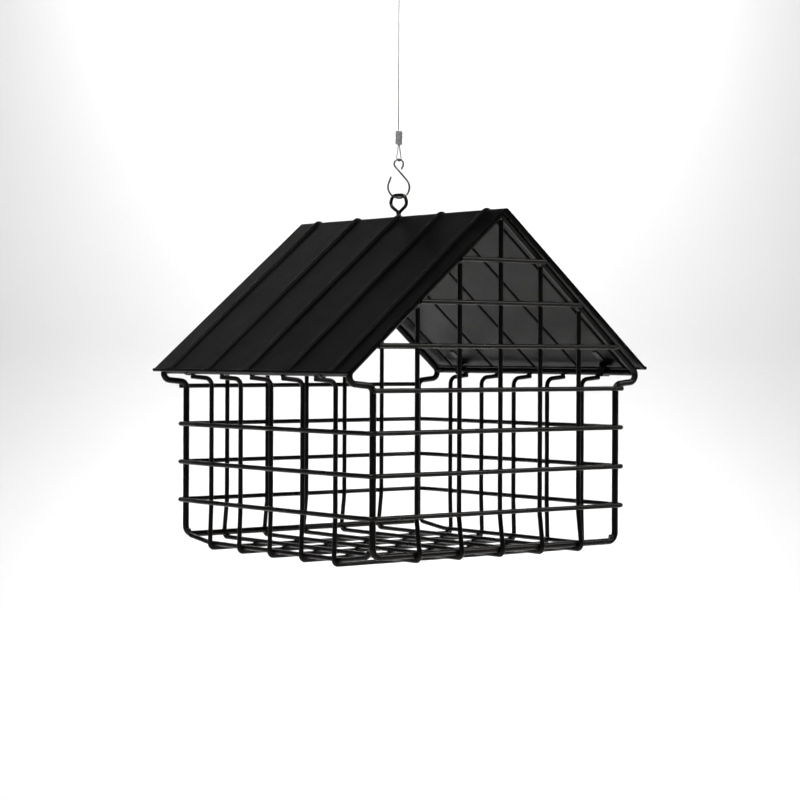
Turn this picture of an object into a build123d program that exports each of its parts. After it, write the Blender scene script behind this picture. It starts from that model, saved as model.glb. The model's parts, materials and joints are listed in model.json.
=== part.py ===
"""Hanging bird feeder: a welded wire cage hinged under a folded sheet roof, on an S-hook and cable.

Millimetres. X is across the gables, Y along the ridge, Z up. The model is laid out with z = 0 near the
foot of the cage, and is written with its origin in the top of the upper cable loop.
"""

import os
from math import acos, asin, atan2, cos, degrees, hypot, radians, sin, tan

from build123d import *

# Driving dimensions of the cage
cage_width = 214.0          # between the corner wires, along X
cage_length = 221.0         # between the two gable frames, along Y
cells = 6                   # mesh openings along each side
frame_r = 2.2               # gable frames and eave rods
mesh_r = 1.6                # every other cage wire
run_z = 0.7                 # bottom run of the frames
ring_heights = (25.8, 53.0, 80.3)
bar_heights = (107.5, 136.5, 165.3, 194.1)
shoulder_z = 110.4          # the frames' folded ears, below and above
fold_z = 113.0
weld_gap = 0.04             # joint line left between two wires that are welded
frame_corner = 6.0          # bend radii at the middle of the wire
shoulder_bend = 5.0
apex_bend = 4.0
edge_bend = 4.0             # ends of the floor edge wires
edge_dip = 5.0              # where an edge wire has dipped to the floor, past the last crosswise wire
flare_bend = 5.5
knee_bend = 25.0            # where a wall wire leans out to pass around the floor's edge
knee_below_ring = 2.5
bulge = 1.8                 # of the long walls, outwards
bulge_start = 20.0          # from the gable frames
slack_bend = 60.0           # slight bends of the rings and the edge wires

# Driving dimensions of the roof
slope = radians(40.1)       # of the frames' rakes and of the roof's hinged side
far_slope = radians(39.4)   # of its clip side, which stands a little above the frames
roof_half_width = 131.0
roof_length = 233.0
apex_z = 229.8              # where the two top faces would meet
sheet = 1.0
ridge_bend = 3.0
rib_count = 5
rib_height = 1.2
rib_crest = 1.0             # half the width of a rib's crest
rib_flank = radians(60)
rib_bend = 1.0
rib_margin = 0.42           # plain strip beside the outer ribs, in rib spacings
hem_width = 3.0
hem_depth = 0.9
bead_r = 1.2
roof_clearance = 0.3

# Hinge and clips
rod_x = 125.0
rod_z = 118.6
ring_y = 80.0
ring_bore_r = 2.5
ring_wall = 0.7
ring_width = 3.0
clip_width = 5.0
clip_gap = 5.1
clip_wall = 0.8
clip_drop = 3.0
stem_foot = 2.2
tab_length = 14.0
tab_shift = 7.5             # up the slope from the hinged rod
clip_shift = 4.0            # up the slope from the other rod to the clips' stems

# Hanging eye, S-hook, cable
eye_r = 1.2
eye_half_width = 7.6
eye_top_z = 244.0
eye_turn = radians(-80)     # direction of each loop's plane about Z, from +X
hook_r = 0.7
hook_turn = radians(-30)
hook_big = 7.7
hook_small = 3.25
hook_top_z = 269.4
contact_gap = 0.15
cable_r = 0.4
loop_turn = radians(20)
loop_bend = 2.8
strand_offset = 0.6
strand_bend = 2.5
ferrule_width = 6.0
ferrule_depth = 4.0
ferrule_height = 9.4
ferrule_z = 279.9
upper_ferrule_z = 388.0
upper_loop_bend = 5.5
upper_loop_rise = 19.0

# Worked out from them
pitch_x = cage_width / cells
pitch_y = cage_length / cells
half_w = cage_width / 2
half_l = cage_length / 2
ring_offset = frame_r + mesh_r + weld_gap
wall_offset = ring_offset - 2 * mesh_r - weld_gap
rake_drop = (sheet + roof_clearance + frame_r) / cos(slope)
rake_z = apex_z - rake_drop
floor_z = run_z - ring_offset
cross_floor_z = floor_z - 2 * mesh_r - weld_gap
knee_z = ring_heights[0] - knee_below_ring
fold_x = (rake_z - fold_z) / tan(slope)
top_centre_z = upper_ferrule_z + ferrule_height + upper_loop_rise
hang_z = top_centre_z + upper_loop_bend - cable_r
outward = Vector(-sin(slope), 0, cos(slope))
uphill = Vector(cos(slope), 0, sin(slope))


def tube(path, radius):
    """A round wire along a path, given by the middle of the wire."""
    return sweep(Plane(origin=path @ 0, z_dir=path % 0) * Circle(radius), path=path)


def wire(points, radius, bends):
    """A round wire through corner points, with one bend radius or a list of them."""
    return tube(FilletPolyline(*points, radius=bends), radius)


def flip(shape, plane=Plane.YZ):
    """The mirror image of a piece on the other side of the feeder."""
    return mirror(shape, about=plane)


def gable_frame(y):
    """One thick wire bent into a house outline, with a folded ear under each eave."""
    side = [
        (half_w, y, run_z),
        (half_w, y, shoulder_z),
        (fold_x, y, fold_z),
    ]
    points = [(weld_gap, y, run_z), *side, (0, y, rake_z)]
    points += [(-x, y, z) for x, y, z in reversed(side)] + [(-weld_gap, y, run_z)]
    bends = [frame_corner, shoulder_bend, shoulder_bend, apex_bend]
    bends += [shoulder_bend, shoulder_bend, frame_corner]
    return wire(points, frame_r, bends)


def rake_height(x):
    """Where a wire that stands at x meets the underside of the sloping frame wire."""
    return rake_z - abs(x) * tan(slope) - frame_r / cos(slope) - mesh_r * tan(slope) - weld_gap


def lean_out(wall, edge, edge_z, edge_r, floor):
    """Where a wall wire meets the floor, leaning out from its knee to pass around the floor's edge."""
    to_edge = Vector(edge - wall, edge_z - knee_z)
    spread = asin((edge_r + mesh_r + weld_gap) / to_edge.length)
    angle = atan2(to_edge.Y, to_edge.X) + spread
    return wall + (floor - knee_z) / tan(angle)


def lengthwise_wire(x):
    """Down one gable, around the frame's bottom run, along the floor and up the other gable."""
    y = half_l + wall_offset
    foot = lean_out(y, half_l, run_z, frame_r, floor_z)
    side = [(x, -y, rake_height(x)), (x, -y, knee_z), (x, -foot, floor_z)]
    points = side + [(x, -y, z) for x, y, z in reversed(side)]
    return wire(points, mesh_r, [knee_bend, ring_offset, ring_offset, knee_bend])


def crosswise_wire(y):
    """From one eave rod down the long wall, under the floor wires and up to the other rod."""
    x = half_w + wall_offset + bulge
    foot = lean_out(x, half_w, floor_z, mesh_r, cross_floor_z)
    under_rod = rod_z - frame_r - mesh_r - weld_gap
    side = [(rod_x + 1.0, y, under_rod), (x, y, under_rod - 1.6), (x, y, knee_z), (foot, y, cross_floor_z)]
    points = side + [(-x, y, z) for x, y, z in reversed(side)]
    bends = [flare_bend, knee_bend, floor_z - cross_floor_z]
    return wire(points, mesh_r, bends + bends[::-1])


def floor_edge_wire():
    """Along the foot of the left long wall, turned up at the frames' corners and lower in between."""
    y = half_l - ring_offset
    low_y = 2 * pitch_y + edge_dip
    half = [(-half_w, -y, run_z + edge_bend + 0.2), (-half_w, -y, run_z), (-half_w, -low_y, floor_z)]
    points = half + [(x, -y, z) for x, y, z in reversed(half)]
    return wire(points, mesh_r, [edge_bend, slack_bend, slack_bend, edge_bend])


def wall_ring(z):
    """A closed ring of wire around the outside of the cage, bulging a little along the long walls."""
    x = half_w + ring_offset
    y = half_l + ring_offset
    right = [(weld_gap, y), (x, y), (x + bulge, half_l - bulge_start)]
    right += [(x, -y) for x, y in reversed(right[1:])]
    points = right + [(-x, y) for x, y in reversed(right)]
    bends = [ring_offset, slack_bend, slack_bend, ring_offset]
    return wire([(x, y, z) for x, y in points], mesh_r, bends + bends)


def straight(start, end, radius):
    """A straight round wire."""
    return tube(Line(start, end), radius)


def gable_bar(y, z):
    """A level wire across the outside of a gable, cut off under the roof above the eaves."""
    under_roof = (apex_z - (sheet + hem_depth + roof_clearance) / cos(slope) - mesh_r - z) / tan(slope)
    x = min(half_w + 3.0, under_roof)
    return straight((-x, y, z), (x, y, z), mesh_r)


def roof_sheet():
    """A ribbed sheet folded once at the ridge, with hemmed gable edges and beaded eaves."""
    middle_z = apex_z - sheet / 2 / cos((slope + far_slope) / 2)
    eave = Vector(-roof_half_width, 0, apex_z - roof_half_width * tan(slope)) - outward * (sheet / 2)
    far_eave = Vector(roof_half_width, 0, apex_z - roof_half_width * tan(far_slope))
    far_eave -= Vector(sin(far_slope), 0, cos(far_slope)) * (sheet / 2)
    path = FilletPolyline(eave, (0, 0, middle_z), far_eave, radius=ridge_bend)
    half = roof_length / 2
    spacing = roof_length / (rib_count - 1 + 2 * rib_margin)
    foot = rib_crest + rib_height / tan(rib_flank)

    def face_line(lift):
        """One face of the sheet: flats and ribs, the bends growing or shrinking with the lift."""
        shift = lift * tan(rib_flank / 2)
        points, bends = [(-half, lift)], []
        for rib in range(rib_count):
            y = (rib - (rib_count - 1) / 2) * spacing
            points += [
                (y - foot - shift, lift),
                (y - rib_crest - shift, rib_height + lift),
                (y + rib_crest + shift, rib_height + lift),
                (y + foot + shift, lift),
            ]
            bends += [rib_bend - lift, rib_bend + lift, rib_bend + lift, rib_bend - lift]
        return FilletPolyline(*points, (half, lift), radius=bends)

    top = face_line(sheet / 2)
    bottom = face_line(-sheet / 2)
    ends = [Line((y, sheet / 2), (y, -sheet / 2)) for y in (-half, half)]
    section = make_face([*top.edges(), *bottom.edges(), *ends])
    hem = Rectangle(hem_width, hem_depth, align=(Align.MIN, Align.MAX))
    section += Pos(-half, -sheet / 2) * hem + Pos(half - hem_width, -sheet / 2) * hem
    plane = Plane(origin=eave, x_dir=(0, 1, 0), z_dir=uphill)
    body = sweep(plane * section, path=path)
    for edge in (eave, far_eave):
        body += straight(edge + Vector(0, -half, 0), edge + Vector(0, half, 0), bead_r)
    return body


def rod_plane(y):
    """A plane across the left eave rod, its X along the slope and its Y out of the roof."""
    return Plane(origin=(-rod_x, y, rod_z), x_dir=uphill, z_dir=(0, -1, 0))


def roof_gap(angle):
    """From the middle of an eave rod square up to the underside of a slope of the sheet."""
    above = apex_z - rod_x * tan(angle) - rod_z
    return above * cos(angle) - sheet


def hinge_ring(y):
    """A ring that turns on the left eave rod, on a tab under the sheet."""
    outer = ring_bore_r + ring_wall
    gap = roof_gap(slope) - weld_gap
    ring = Circle(outer) + Pos(0.6, gap / 2) * Rectangle(2.4, gap)
    ring -= Circle(ring_bore_r)
    ring += Pos(tab_shift, gap) * Rectangle(tab_length, ring_wall, align=(Align.CENTER, Align.MAX))
    return extrude(rod_plane(y) * ring, ring_width / 2, both=True)


def snap_clip(y):
    """Two springy legs beside the right eave rod, hanging from a bridge under the sheet."""
    reach = clip_gap / 2 + clip_wall
    top = frame_r + 0.9
    legs = Pos(0, (top + clip_wall - clip_drop) / 2) * Rectangle(2 * reach, top + clip_wall + clip_drop)
    legs -= Pos(0, (top - clip_drop) / 2) * Rectangle(clip_gap, top + clip_drop)
    lean = Plane(origin=(0, 0, 0)).rotated((0, 0, -degrees(far_slope)))
    gap = roof_gap(far_slope) - weld_gap
    tab = Rectangle(tab_length, ring_wall, align=(Align.CENTER, Align.MAX))
    stem = Rectangle(3.0, gap - stem_foot, align=(Align.CENTER, Align.MAX))
    tab = Pos(-clip_shift - tab_length / 2 + 1.5, gap) * tab
    stem = Pos(-clip_shift, gap) * stem
    section = legs + lean * (tab + stem)
    plane = Plane(origin=(rod_x, y, rod_z), x_dir=(1, 0, 0), z_dir=(0, -1, 0))
    return extrude(plane * section, clip_width / 2, both=True)


def turned(angle):
    """Gives the point that is u along a plane turned about Z, w out of it, and at height z."""
    def place(u, z, w=0.0):
        return Vector(u * cos(angle) + w * sin(angle), u * sin(angle) - w * cos(angle), z)
    return place


def hanging_eye(top_z):
    """A wire eye whose legs cross on the ridge and lie down the two slopes."""
    place = turned(eye_turn)
    cross_z = apex_z + 2.4
    tail_u, tail_w = 5.2, 5.6
    tail = place(tail_u, 0, tail_w)
    tail_z = apex_z - abs(tail.X) * tan(far_slope) + (eye_r + weld_gap) / cos(far_slope)
    half = [
        place(tail_u, tail_z, tail_w),
        place(0.0, cross_z, eye_r + weld_gap),
        place(-eye_half_width, top_z - 7.0, 0.7),
        place(-5.6, top_z, 0.3),
    ]
    other = [Vector(-p.X, -p.Y, p.Z) for p in reversed(half)]
    return wire([*half, *other], eye_r, [2.0, 4.5, 4.5, 4.5, 4.5, 2.0])


def s_hook(top_centre, bottom_centre):
    """Two hooks joined by a straight shank that is tangent to both, each with a straight tip."""
    place = turned(hook_turn)
    lean = asin((hook_big + hook_small) / (top_centre - bottom_centre))

    def on(centre, radius, angle):
        return place(radius * cos(angle), centre + radius * sin(angle))

    small_end, big_end = radians(-25), radians(160)
    small_turn, big_turn = lean + radians(180), lean
    tip_small = on(top_centre, hook_small, small_end) + place(sin(small_end), -cos(small_end)) * 2.6
    tip_big = on(bottom_centre, hook_big, big_end) + place(sin(big_end), -cos(big_end)) * 5.0
    path = Wire([
        Line(tip_small, on(top_centre, hook_small, small_end)),
        ThreePointArc(
            on(top_centre, hook_small, small_end),
            on(top_centre, hook_small, radians(90)),
            on(top_centre, hook_small, small_turn),
        ),
        Line(on(top_centre, hook_small, small_turn), on(bottom_centre, hook_big, big_turn)),
        ThreePointArc(
            on(bottom_centre, hook_big, big_turn),
            on(bottom_centre, hook_big, radians(-90)),
            on(bottom_centre, hook_big, big_end),
        ),
        Line(on(bottom_centre, hook_big, big_end), tip_big),
    ])
    return tube(path, hook_r)


def cable_loop(arc_z, bend, ferrule_face, up):
    """A loop of cable with both strands pressed into a ferrule; up is 1 for the upper loop."""
    place = turned(loop_turn)
    reach = abs(ferrule_face - arc_z)
    leave = atan2(strand_offset, reach) + acos(bend / hypot(strand_offset, reach))
    corner = bend * tan((radians(180) - leave) / 2)
    inside = ferrule_face - up * (ferrule_height / 2 - 0.5)
    half = [(strand_offset, inside), (strand_offset, ferrule_face), (corner, arc_z + up * bend)]
    points = half + [(-u, z) for u, z in reversed(half)]
    turn = bend - weld_gap
    return wire([place(*point) for point in points], cable_r, [strand_bend, turn, turn, strand_bend])


def ferrule(z):
    """A pressed oval sleeve with a hole for each strand."""
    section = SlotOverall(ferrule_width, ferrule_depth)
    for side in (-1, 1):
        section -= Pos(side * strand_offset, 0) * Circle(cable_r + 0.01)
    plane = Plane(origin=(0, 0, z), x_dir=(cos(loop_turn), sin(loop_turn), 0), z_dir=(0, 0, 1))
    return extrude(plane * section, ferrule_height)


os.makedirs("parts", exist_ok=True)


def save(name, shape):
    """Writes one sub-part, moved so that the hanging point is the origin."""
    solid = Pos(0, 0, -hang_z) * shape
    solid.label = name
    export_step(solid, f"parts/{name}.step")


# Cage
for end, sign in (("front", -1), ("back", 1)):
    save(f"{end}_gable_frame", gable_frame(sign * half_l))
    for number, z in enumerate(bar_heights, 1):
        save(f"{end}_gable_bar_{number}", gable_bar(sign * (half_l + ring_offset), z))
for number in range(1, cells):
    save(f"lengthwise_wire_{number}", lengthwise_wire((number - cells / 2) * pitch_x))
    save(f"crosswise_wire_{number}", crosswise_wire((number - cells / 2) * pitch_y))
for number, z in enumerate(ring_heights, 1):
    save(f"wall_ring_{number}", wall_ring(z))
rod_end = half_l - frame_r - weld_gap
rod = straight((-rod_x, -rod_end, rod_z), (-rod_x, rod_end, rod_z), frame_r)
for name, shape in (("floor_edge_wire", floor_edge_wire()), ("eave_rod", rod)):
    save(f"{name}_left", shape)
    save(f"{name}_right", flip(shape))

# Roof
save("roof_sheet", roof_sheet())
for end, sign in (("front", -1), ("back", 1)):
    save(f"hinge_ring_{end}", hinge_ring(sign * ring_y))
    save(f"snap_clip_{end}", snap_clip(sign * ring_y))
save("hanging_eye", hanging_eye(eye_top_z))

# S-hook and cable
hook_bottom_z = eye_top_z - eye_r - contact_gap - hook_r
save("s_hook", s_hook(hook_top_z - hook_small, hook_bottom_z + hook_big))
loop_bottom_z = hook_top_z - hook_r - contact_gap - cable_r
save("lower_cable_loop", cable_loop(loop_bottom_z + loop_bend, loop_bend, ferrule_z, -1))
save("upper_cable_loop", cable_loop(top_centre_z, upper_loop_bend, upper_ferrule_z + ferrule_height, 1))
strand = turned(loop_turn)(-strand_offset, 0)
cable_ends = (ferrule_z + ferrule_height / 2, upper_ferrule_z + ferrule_height / 2)
save("hanging_cable", straight(*(strand + Vector(0, 0, z) for z in cable_ends), cable_r))
save("lower_ferrule", ferrule(ferrule_z))
save("upper_ferrule", ferrule(upper_ferrule_z))

for name, bend in (("lower", loop_bend), ("upper", upper_loop_bend)):
    print(f"{name} cable loop: bend radius {bend} mm, {bend / (2 * cable_r):.1f} cable diameters")
print(f"strands into the ferrules: bend radius {strand_bend} mm")
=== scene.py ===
"""Looks of the hanging bird feeder: materials, weld beads, cable strands, studio and camera."""

import json
import math
import random

import bmesh
import bpy
from mathutils import Matrix, Vector


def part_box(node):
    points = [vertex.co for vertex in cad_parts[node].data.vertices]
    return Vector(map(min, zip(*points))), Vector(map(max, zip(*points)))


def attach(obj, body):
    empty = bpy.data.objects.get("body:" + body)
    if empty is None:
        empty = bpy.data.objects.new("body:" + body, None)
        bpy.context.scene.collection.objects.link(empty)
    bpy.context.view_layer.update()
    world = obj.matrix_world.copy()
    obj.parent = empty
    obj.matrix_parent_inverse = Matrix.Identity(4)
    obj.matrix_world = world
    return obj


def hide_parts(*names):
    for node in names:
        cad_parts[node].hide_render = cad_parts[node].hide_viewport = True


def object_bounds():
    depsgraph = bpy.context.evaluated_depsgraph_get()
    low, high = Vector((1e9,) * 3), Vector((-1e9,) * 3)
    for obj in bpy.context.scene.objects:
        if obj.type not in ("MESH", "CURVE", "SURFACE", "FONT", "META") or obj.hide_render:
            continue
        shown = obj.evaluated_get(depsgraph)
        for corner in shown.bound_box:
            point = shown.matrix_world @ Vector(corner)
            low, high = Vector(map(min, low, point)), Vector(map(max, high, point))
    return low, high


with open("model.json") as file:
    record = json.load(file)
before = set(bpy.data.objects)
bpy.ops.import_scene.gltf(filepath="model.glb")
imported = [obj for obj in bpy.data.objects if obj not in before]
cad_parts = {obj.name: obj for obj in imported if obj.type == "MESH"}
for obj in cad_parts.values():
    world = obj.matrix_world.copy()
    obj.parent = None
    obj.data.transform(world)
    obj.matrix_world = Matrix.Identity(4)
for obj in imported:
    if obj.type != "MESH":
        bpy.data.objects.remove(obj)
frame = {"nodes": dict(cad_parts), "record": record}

cad_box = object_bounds()

# The camera's heading from +X towards +Y, in degrees. The backdrop squares up to it.
VIEW_HEADING = 51.8

# Powder coat's tones, and what lies on it.
DUST_TONE = 0.05
RUBBED_TONE = 0.05

# Half sizes of a weld bead, in metres: across the wires, and through them.
BEAD_WIDE = 0.00195
BEAD_THICK = 0.00115

# Cable: strands, the length of one strand's turn in cable diameters, and how finely it is drawn.
STRANDS = 7
PITCH_IN_DIAMETERS = 7.5
STRAND_SIDES = 8
STEPS_PER_TURN = 14

# Backdrop: how far the floor lies under the feeder, how far behind it the wall stands, the radius
# that joins them, the wall's height over the floor and half the width, in metres.
FLOOR_DROP = 0.35
WALL_BEHIND = 0.95
WALL_BEND = 0.5
WALL_HEIGHT = 1.1
BACKDROP_HALF_WIDTH = 4


# Materials ----------------------------------------------------------------------------------------


class Nodes:
    """A short way to write a material's nodes."""

    def __init__(self, name):
        self.material = bpy.data.materials.new(name)
        self.material.use_nodes = True
        self.tree = self.material.node_tree
        self.shader = self.tree.nodes["Principled BSDF"]
        self.place = self.add("ShaderNodeTexCoord").outputs["Object"]

    def add(self, kind, settings=None, **inputs):
        node = self.tree.nodes.new(kind)
        for key, value in (settings or {}).items():
            setattr(node, key, value)
        for key, value in inputs.items():
            self.put(node.inputs[key.replace("_", " ")], value)
        return node

    def put(self, socket, value):
        if isinstance(value, bpy.types.NodeSocket):
            self.tree.links.new(value, socket)
        else:
            socket.default_value = value

    def noise(self, scale, detail=3.0, roughness=0.55, stretch=(1, 1, 1)):
        """Noise between 0 and 1, with so many features a metre, stretched along an axis."""
        place = self.add("ShaderNodeMapping", Vector=self.place)
        place.inputs["Scale"].default_value = stretch
        return self.add(
            "ShaderNodeTexNoise", Vector=place.outputs[0], Scale=scale, Detail=detail,
            Roughness=roughness,
        ).outputs["Fac"]

    def ramp(self, value, low, high, out_low=0.0, out_high=1.0):
        """Stretches low..high to out_low..out_high, clamped."""
        node = self.add("ShaderNodeMapRange", Value=value)
        limits = {"From Min": low, "From Max": high, "To Min": out_low, "To Max": out_high}
        for key, number in limits.items():
            node.inputs[key].default_value = number
        return node.outputs[0]

    def mix(self, amount, dark, light):
        node = self.add("ShaderNodeMix", {"data_type": "RGBA"})
        self.put(node.inputs[0], amount)
        self.put(node.inputs[6], dark)
        self.put(node.inputs[7], light)
        return node.outputs[2]

    def maths(self, operation, first, second):
        node = self.add("ShaderNodeMath", {"operation": operation})
        self.put(node.inputs[0], first)
        self.put(node.inputs[1], second)
        return node.outputs[0]

    def bump(self, height, strength, distance, under=None):
        node = self.add("ShaderNodeBump", Height=height, Strength=strength, Distance=distance)
        if under is not None:
            self.put(node.inputs["Normal"], under)
        return node.outputs[0]

    def finish(self, **inputs):
        for key, value in inputs.items():
            self.put(self.shader.inputs[key.replace("_", " ")], value)
        return self.material


def grey(value, warm=0.0):
    return (value * (1 + warm), value, value * (1 - warm), 1.0)


def powder_coat(name, dark, light, rough, shine, peel):
    """Black powder coat: an orange-peel surface, cloudy gloss, dust and a few rubbed spots."""
    m = Nodes(name)
    cloud = m.noise(28, detail=4)
    peel_grain = m.noise(1500, detail=2)
    fine_grain = m.noise(5200, detail=1)
    dust = m.ramp(m.noise(420, detail=6, roughness=0.7), 0.58, 0.75)
    rubbed = m.ramp(m.noise(95, detail=8, roughness=0.75), 0.70, 0.76)
    colour = m.mix(cloud, grey(dark, 0.03), grey(light, 0.05))
    colour = m.mix(m.maths("MULTIPLY", dust, 0.2), colour, grey(DUST_TONE, 0.08))
    colour = m.mix(m.maths("MULTIPLY", rubbed, 0.25), colour, grey(RUBBED_TONE))
    gloss = m.ramp(cloud, 0.3, 0.7, rough - 0.05, rough + 0.06)
    gloss = m.maths("ADD", gloss, m.maths("MULTIPLY", dust, 0.18))
    normal = m.bump(peel_grain, peel, 0.00012)
    normal = m.bump(fine_grain, peel * 0.6, 0.00004, normal)
    return m.finish(
        Base_Color=colour, Roughness=gloss, Normal=normal, Specular_IOR_Level=shine,
        Specular_Tint=grey(0.94, 0.06),
    )


def drawn_steel(name, dark, light, rough):
    """Drawn wire: fine streaks, a dull film and small dark pits."""
    m = Nodes(name)
    film = m.noise(160, detail=5)
    streak = m.noise(900, detail=2, stretch=(1, 1, 0.12))
    pits = m.ramp(m.noise(1700, detail=4, roughness=0.7), 0.66, 0.72)
    colour = m.mix(film, grey(dark, 0.07), grey(light, 0.04))
    colour = m.mix(m.maths("MULTIPLY", pits, 0.6), colour, grey(0.08, 0.15))
    streak_gloss = m.ramp(streak, 0.3, 0.7, rough - 0.06, rough + 0.08)
    gloss = m.maths("ADD", streak_gloss, m.maths("MULTIPLY", pits, 0.3))
    return m.finish(
        Base_Color=colour, Metallic=1.0, Roughness=gloss,
        Normal=m.bump(m.maths("SUBTRACT", streak, pits), 0.25, 0.00003),
    )


def pressed_aluminium(name):
    """A ferrule's skin: die lines along it, faint dents and a chalky oxide."""
    m = Nodes(name)
    lines = m.noise(2600, detail=2, stretch=(1, 1, 0.04))
    dents = m.noise(420, detail=3)
    oxide = m.ramp(m.noise(500, detail=4), 0.35, 0.8)
    colour = m.mix(oxide, grey(0.92), grey(0.82, 0.02))
    return m.finish(
        Base_Color=colour, Metallic=0.35, Roughness=m.ramp(oxide, 0, 1, 0.24, 0.42),
        Normal=m.bump(dents, 0.25, 0.0002, m.bump(lines, 0.3, 0.00004)),
    )


def pale_wall(name):
    """A plain pale backdrop."""
    m = Nodes(name)
    tone = m.mix(m.noise(3, detail=3), grey(0.80), grey(0.86))
    return m.finish(Base_Color=tone, Roughness=0.9, Specular_IOR_Level=0.1)


wire_coat = powder_coat("wire_coat", 0.003, 0.006, 0.30, 0.50, 0.30)
roof_coat = powder_coat("roof_coat", 0.002, 0.004, 0.36, 0.18, 0.22)
hook_steel = drawn_steel("hook_steel", 0.30, 0.52, 0.34)
cable_steel = drawn_steel("cable_steel", 0.58, 0.78, 0.42)
ferrule_metal = pressed_aluminium("ferrule_metal")

materials = {
    "black_coat": wire_coat,
    "roof_coat": roof_coat,
    "bright_steel": hook_steel,
    "cable_steel": cable_steel,
    "ferrule_metal": ferrule_metal,
}
slot_of = {part["node"]: part["material_slot"] for part in frame["record"]["subparts"]}
for node, obj in frame["nodes"].items():
    for slot in obj.material_slots:
        slot.material = materials[slot_of[node]]


# Weld beads ---------------------------------------------------------------------------------------


def middle_of(node):
    low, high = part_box(node)
    return (low + high) / 2


def weld_places():
    """Every point where two cage wires are welded, with the direction in which they touch."""
    along, across, up = Vector((1, 0, 0)), Vector((0, 1, 0)), Vector((0, 0, 1))
    lengthwise = [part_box(f"lengthwise_wire_{n}") for n in range(1, 6)]
    columns = [(low.x + high.x) / 2 for low, high in lengthwise]
    rows = [middle_of(f"crosswise_wire_{n}").y for n in range(1, 6)]
    wire_r = (lengthwise[0][1].x - lengthwise[0][0].x) / 2
    floor_z = lengthwise[0][0].z
    corner_x = middle_of("floor_edge_wire_right").x
    frame_y = middle_of("back_gable_frame").y
    rod_low, rod_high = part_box("eave_rod_right")
    rod_x = (rod_low.x + rod_high.x) / 2
    for n in range(1, 4):
        low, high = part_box(f"wall_ring_{n}")
        z = (low.z + high.z) / 2
        for side in (-1, 1):
            for x in columns + [-corner_x, corner_x]:
                yield Vector((x, side * (high.y - 2 * wire_r), z)), across
            for y in rows:
                yield Vector((side * (high.x - 2 * wire_r), y, z)), along
    for n in range(1, 5):
        low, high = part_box(f"back_gable_bar_{n}")
        z = (low.z + high.z) / 2
        ends = [min(corner_x, high.x - 0.001)]
        crossed = [x for x, wire in zip(columns, lengthwise) if wire[1].z > z]
        for side in (-1, 1):
            for x in crossed + ends + [-x for x in ends]:
                yield Vector((x, side * low.y, z)), across
    for y in rows:
        for side in (-1, 1):
            yield Vector((side * corner_x, y, floor_z)), up
            yield Vector((side * rod_x, y, rod_low.z)), up
        for x in columns:
            yield Vector((x, y, floor_z)), up
    for side in (-1, 1):
        for x in columns:
            yield Vector((x, side * frame_y, floor_z + 2 * wire_r)), up
        for x in (-rod_x, rod_x):
            yield Vector((x, side * rod_high.y, (rod_low.z + rod_high.z) / 2)), across


def weld_beads():
    """Lumpy fused metal in the notch where two wires cross, under the same coat."""
    chance = random.Random(7)
    mesh = bmesh.new()
    for place, normal in weld_places():
        bead = bmesh.ops.create_icosphere(mesh, subdivisions=2, radius=1.0)["verts"]
        wide = BEAD_WIDE * chance.uniform(0.88, 1.1)
        thick = BEAD_THICK * chance.uniform(0.9, 1.15)
        turn = normal.to_track_quat("Z", "Y")
        for vert in bead:
            lump = 1 + chance.uniform(-0.06, 0.06)
            shape = Vector((vert.co.x * wide, vert.co.y * wide, vert.co.z * thick))
            vert.co = place + turn @ shape * lump
    for face in mesh.faces:
        face.smooth = True
    data = bpy.data.meshes.new("weld_beads")
    mesh.to_mesh(data)
    beads = bpy.data.objects.new("weld_beads", data)
    data.materials.append(wire_coat)
    bpy.context.scene.collection.objects.link(beads)
    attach(beads, "cage")


# Cable --------------------------------------------------------------------------------------------


def route_points(name, points):
    """Points along the smooth line of a route."""
    curve = bpy.data.curves.new(name, "CURVE")
    curve.dimensions = "3D"
    curve.resolution_u = 64
    spline = curve.splines.new("NURBS")
    spline.points.add(len(points) - 1)
    for point, place in zip(spline.points, points):
        point.co = (*place, 1.0)
    spline.order_u = 3
    spline.use_endpoint_u = True
    obj = bpy.data.objects.new(name, curve)
    line = bpy.data.meshes.new_from_object(obj)
    places = [vert.co.copy() for vert in line.vertices]
    bpy.data.objects.remove(obj)
    bpy.data.curves.remove(curve)
    bpy.data.meshes.remove(line)
    return places


def hanging_cable():
    """Twisted strands, pulled straight between the two ferrules."""
    low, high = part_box("hanging_cable")
    x, y = (low.x + high.x) / 2, (low.y + high.y) / 2
    diameter = high.x - low.x
    beside = 6 * diameter
    route = [(x, y, low.z), (x, y, low.z + beside), (x, y, high.z - beside), (x, y, high.z)]
    path = route_points("cable_route", route)
    strand_r = diameter / 6
    pitch = PITCH_IN_DIAMETERS * diameter
    steps = round((high.z - low.z) / pitch * STEPS_PER_TURN)
    corners = [2 * math.pi * side / STRAND_SIDES for side in range(STRAND_SIDES)]
    mesh = bmesh.new()
    for strand in range(STRANDS):
        helix_r = 2 * strand_r if strand else 0.0
        rings = []
        for step in range(steps + 1):
            share = step / steps * (len(path) - 1)
            before = min(int(share), len(path) - 2)
            middle = path[before].lerp(path[before + 1], share - before)
            angle = 2 * math.pi * ((middle.z - low.z) / pitch + strand / 6)
            middle = middle + Vector((math.cos(angle), math.sin(angle), 0)) * helix_r
            rings.append([
                mesh.verts.new(middle + Vector((math.cos(a), math.sin(a), 0)) * strand_r * 0.98)
                for a in corners
            ])
        for lower, upper in zip(rings, rings[1:]):
            for side in range(STRAND_SIDES):
                after = (side + 1) % STRAND_SIDES
                mesh.faces.new((lower[side], lower[after], upper[after], upper[side])).smooth = True
        mesh.faces.new(rings[0][::-1])
        mesh.faces.new(rings[-1])
    data = bpy.data.meshes.new("cable_strands")
    mesh.to_mesh(data)
    cable = bpy.data.objects.new("cable_strands", data)
    data.materials.append(cable_steel)
    bpy.context.scene.collection.objects.link(cable)
    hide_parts("hanging_cable")
    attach(cable, "cable")


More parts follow.
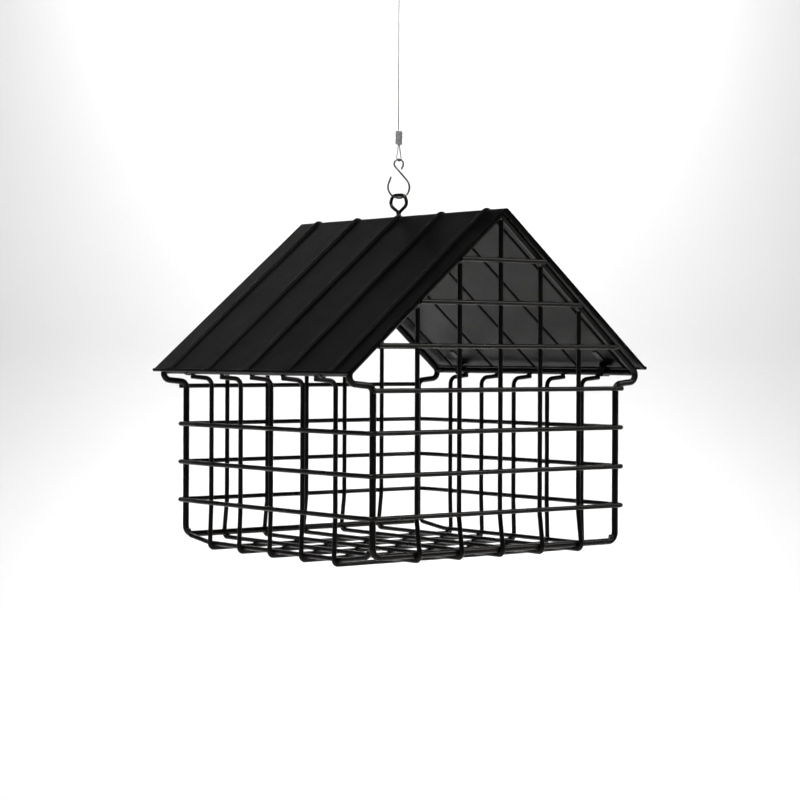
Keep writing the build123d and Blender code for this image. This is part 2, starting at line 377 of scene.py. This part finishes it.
# Studio and camera --------------------------------------------------------------------------------


def studio():
    """A pale floor that curves up into a wall behind the feeder."""
    low = min(cad_box[0][2], cad_box[1][2]) - FLOOR_DROP
    heading = math.radians(VIEW_HEADING)
    toward = Vector((math.cos(heading), math.sin(heading), 0))
    side = Vector((-toward.y, toward.x, 0))
    profile = [(-4.0, low)]
    for step in range(13):
        angle = math.radians(90 * step / 12)
        forward = WALL_BEHIND - WALL_BEND + WALL_BEND * math.sin(angle)
        profile.append((forward, low + WALL_BEND - WALL_BEND * math.cos(angle)))
    profile.append((WALL_BEHIND, low + WALL_HEIGHT))
    mesh = bmesh.new()
    rows = [
        [mesh.verts.new(toward * d + side * s + Vector((0, 0, z))) for d, z in profile]
        for s in (-BACKDROP_HALF_WIDTH, BACKDROP_HALF_WIDTH)
    ]
    for a, b, c, d in zip(rows[0], rows[0][1:], rows[1][1:], rows[1]):
        mesh.faces.new((a, b, c, d)).smooth = True
    data = bpy.data.meshes.new("backdrop")
    mesh.to_mesh(data)
    backdrop = bpy.data.objects.new("backdrop", data)
    backdrop.data.materials.append(pale_wall("pale_wall"))
    bpy.context.scene.collection.objects.link(backdrop)


def area_light(name, place, target, size, power, spread=180):
    light = bpy.data.lights.new(name, "AREA")
    light.shape = "DISK"
    light.size = size
    light.spread = math.radians(spread)
    light.energy = power
    obj = bpy.data.objects.new(name, light)
    obj.location = place
    obj.rotation_euler = (Vector(target) - Vector(place)).to_track_quat("-Z", "Y").to_euler()
    bpy.context.scene.collection.objects.link(obj)


def camera():
    """A level camera at the photograph's height, with the view shifted down and slightly turned."""
    data = bpy.data.cameras.new("camera")
    data.sensor_width = 36.0
    data.lens = 95.1
    data.shift_y = -0.0583
    obj = bpy.data.objects.new("camera", data)
    heading = math.radians(VIEW_HEADING)
    forward = Vector((math.cos(heading), math.sin(heading), 0))
    right = Vector((forward.y, -forward.x, 0))
    up = Vector((0, 0, 1))
    turn = Matrix((right, up, -forward)).transposed() @ Matrix.Rotation(math.radians(0.23), 3, "Z")
    obj.matrix_world = Matrix.Translation((-0.928, -1.1815, -0.290)) @ turn.to_4x4()
    bpy.context.scene.collection.objects.link(obj)
    bpy.context.scene.camera = obj


def world_light(horizon, zenith):
    """Soft light all around, dimmer overhead than at the horizon."""
    world = bpy.data.worlds.new("world")
    world.use_nodes = True
    tree = world.node_tree
    place = tree.nodes.new("ShaderNodeTexCoord")
    split = tree.nodes.new("ShaderNodeSeparateXYZ")
    fade = tree.nodes.new("ShaderNodeMapRange")
    tree.links.new(place.outputs["Generated"], split.inputs[0])
    tree.links.new(split.outputs["Z"], fade.inputs["Value"])
    fade.inputs["From Min"].default_value = 0.05
    fade.inputs["From Max"].default_value = 0.45
    fade.inputs["To Min"].default_value = horizon
    fade.inputs["To Max"].default_value = zenith
    tree.links.new(fade.outputs[0], tree.nodes["Background"].inputs["Strength"])
    bpy.context.scene.world = world


studio()
camera()
hanging_cable()
weld_beads()
world_light(0.55, 0.06)
middle = (0, 0, -0.31)
area_light("key", (-1.0, -0.5, 1.4), middle, 0.5, 19)
area_light("fill", (1.2, -1.2, 0.8), middle, 0.6, 6)
# The narrow spread keeps the wall's light off the roof.
area_light("wall_wash", (0.35, 0.45, 0.95), (0.62, 0.78, -0.35), 0.6, 8, spread=80)
bpy.context.scene.view_settings.view_transform = "Standard"
